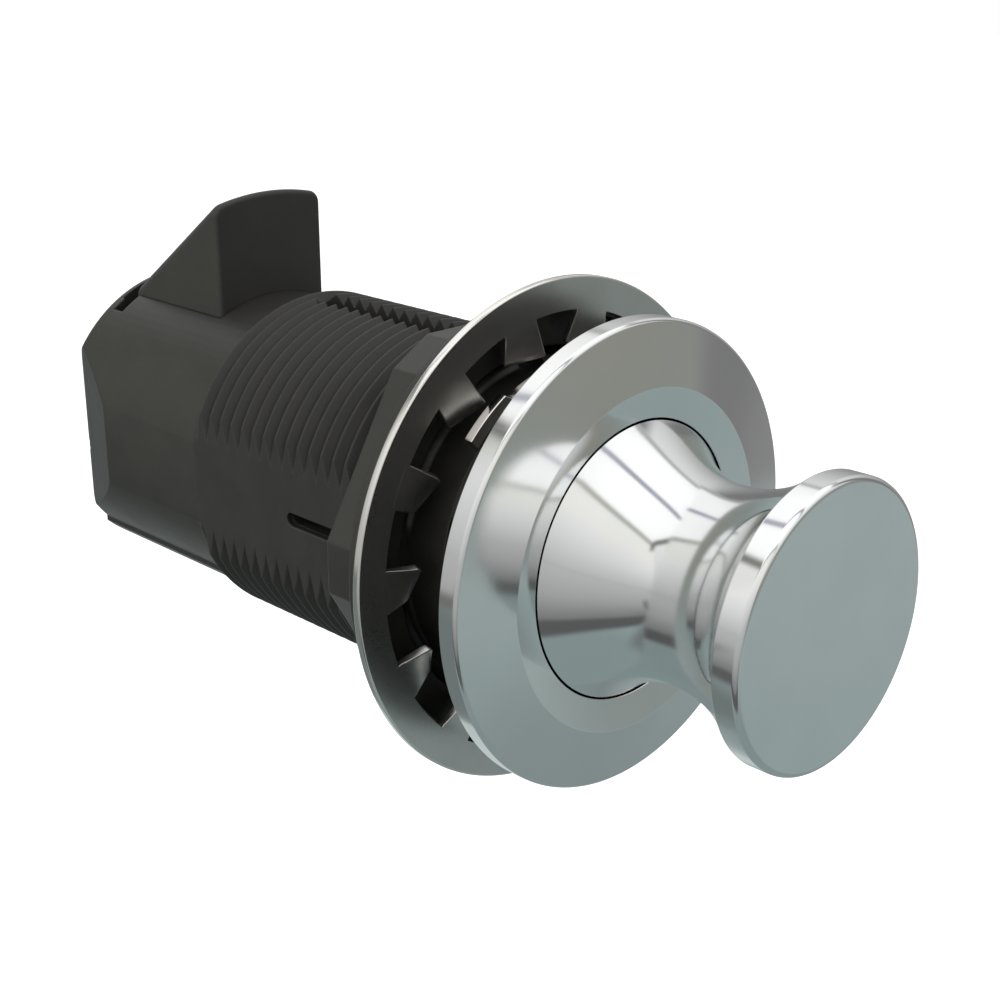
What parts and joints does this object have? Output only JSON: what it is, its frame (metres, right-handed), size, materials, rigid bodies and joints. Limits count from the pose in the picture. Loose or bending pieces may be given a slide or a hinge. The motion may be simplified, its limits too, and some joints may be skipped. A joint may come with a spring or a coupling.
{
  "type": "push-to-close latch",
  "caption": "Push-to-close panel latch: chromed pull knob and escutcheon on a threaded double-D barrel, cam-driven slam bolt at the rear, star washer and clamp nut.",
  "frame": {"origin": "on the latch's axis, in the plane of the escutcheon face that seats on the panel's front", "axes": "+Y along the axis into the panel, towards the bolt; the knob points to -Y; +Z is the way the bolt stands out; +X completes the frame"},
  "size_m": [0.042, 0.0795, 0.0444],
  "materials": {
    "black_nylon": "moulded black, fine matte",
    "bolt_nylon": "moulded black, smooth satin",
    "nut_nylon": "moulded black, fine matte",
    "stem_nylon": "moulded black",
    "acetal": "natural bearing plastic",
    "chrome_trim": "satin to bright chrome plating",
    "chrome_knob": "bright chrome plating",
    "washer_steel": "dark satin faces with a polished rim",
    "spring_steel": "bright spring steel",
    "cam_steel": "stamped zinc-plated steel",
    "dark_steel": "plain steel"
  },
  "bodies": {
    "barrel": {"housing": "black_nylon", "rear_cover": "black_nylon", "cover_screws": "dark_steel", "spring_cover": "black_nylon", "escutcheon": "chrome_trim", "guide_bush": "acetal", "retaining_clip": "spring_steel", "knob_spring": "spring_steel", "bolt_spring_left": "spring_steel", "bolt_spring_right": "spring_steel"},
    "pull": {"knob": "chrome_knob", "knob_screw": "dark_steel", "pull_stem": "stem_nylon", "spring_seat": "dark_steel", "cam_yoke": "cam_steel", "yoke_pin": "dark_steel"},
    "bolt": {"bolt": "bolt_nylon", "cam_pin": "dark_steel"},
    "washer": {"star_washer": "washer_steel"},
    "nut": {"clamp_nut": "nut_nylon"}
  },
  "joints": [
    {"name": "knob_pull", "type": "slide", "parent": "barrel", "child": "pull", "axis": [0, -1, 0], "range_m": [0, 0.009], "stiffness_N_per_m": 300, "springref_m": -0.01, "deforming": ["knob_spring"]},
    {"name": "bolt_slide", "type": "slide", "parent": "barrel", "child": "bolt", "axis": [0, 0, -1], "range_m": [0, 0.009], "stiffness_N_per_m": 150, "springref_m": -0.01, "deforming": ["bolt_spring_left", "bolt_spring_right"]},
    {"name": "washer_slide", "type": "slide", "parent": "barrel", "child": "washer", "axis": [0, -1, 0], "range_m": [-0.0211, 0.0003]},
    {"name": "nut_turn", "type": "hinge", "parent": "washer", "child": "nut", "pos_m": [0, 0, 0], "axis": [0, -1, 0], "range_deg": [-5040, 45]}
  ],
  "couplings": [
    {"joint": "bolt_slide", "follows": "knob_pull", "ratio": 1},
    {"joint": "washer_slide", "follows": "nut_turn", "m_per_rad": 0.00023873}
  ]
}
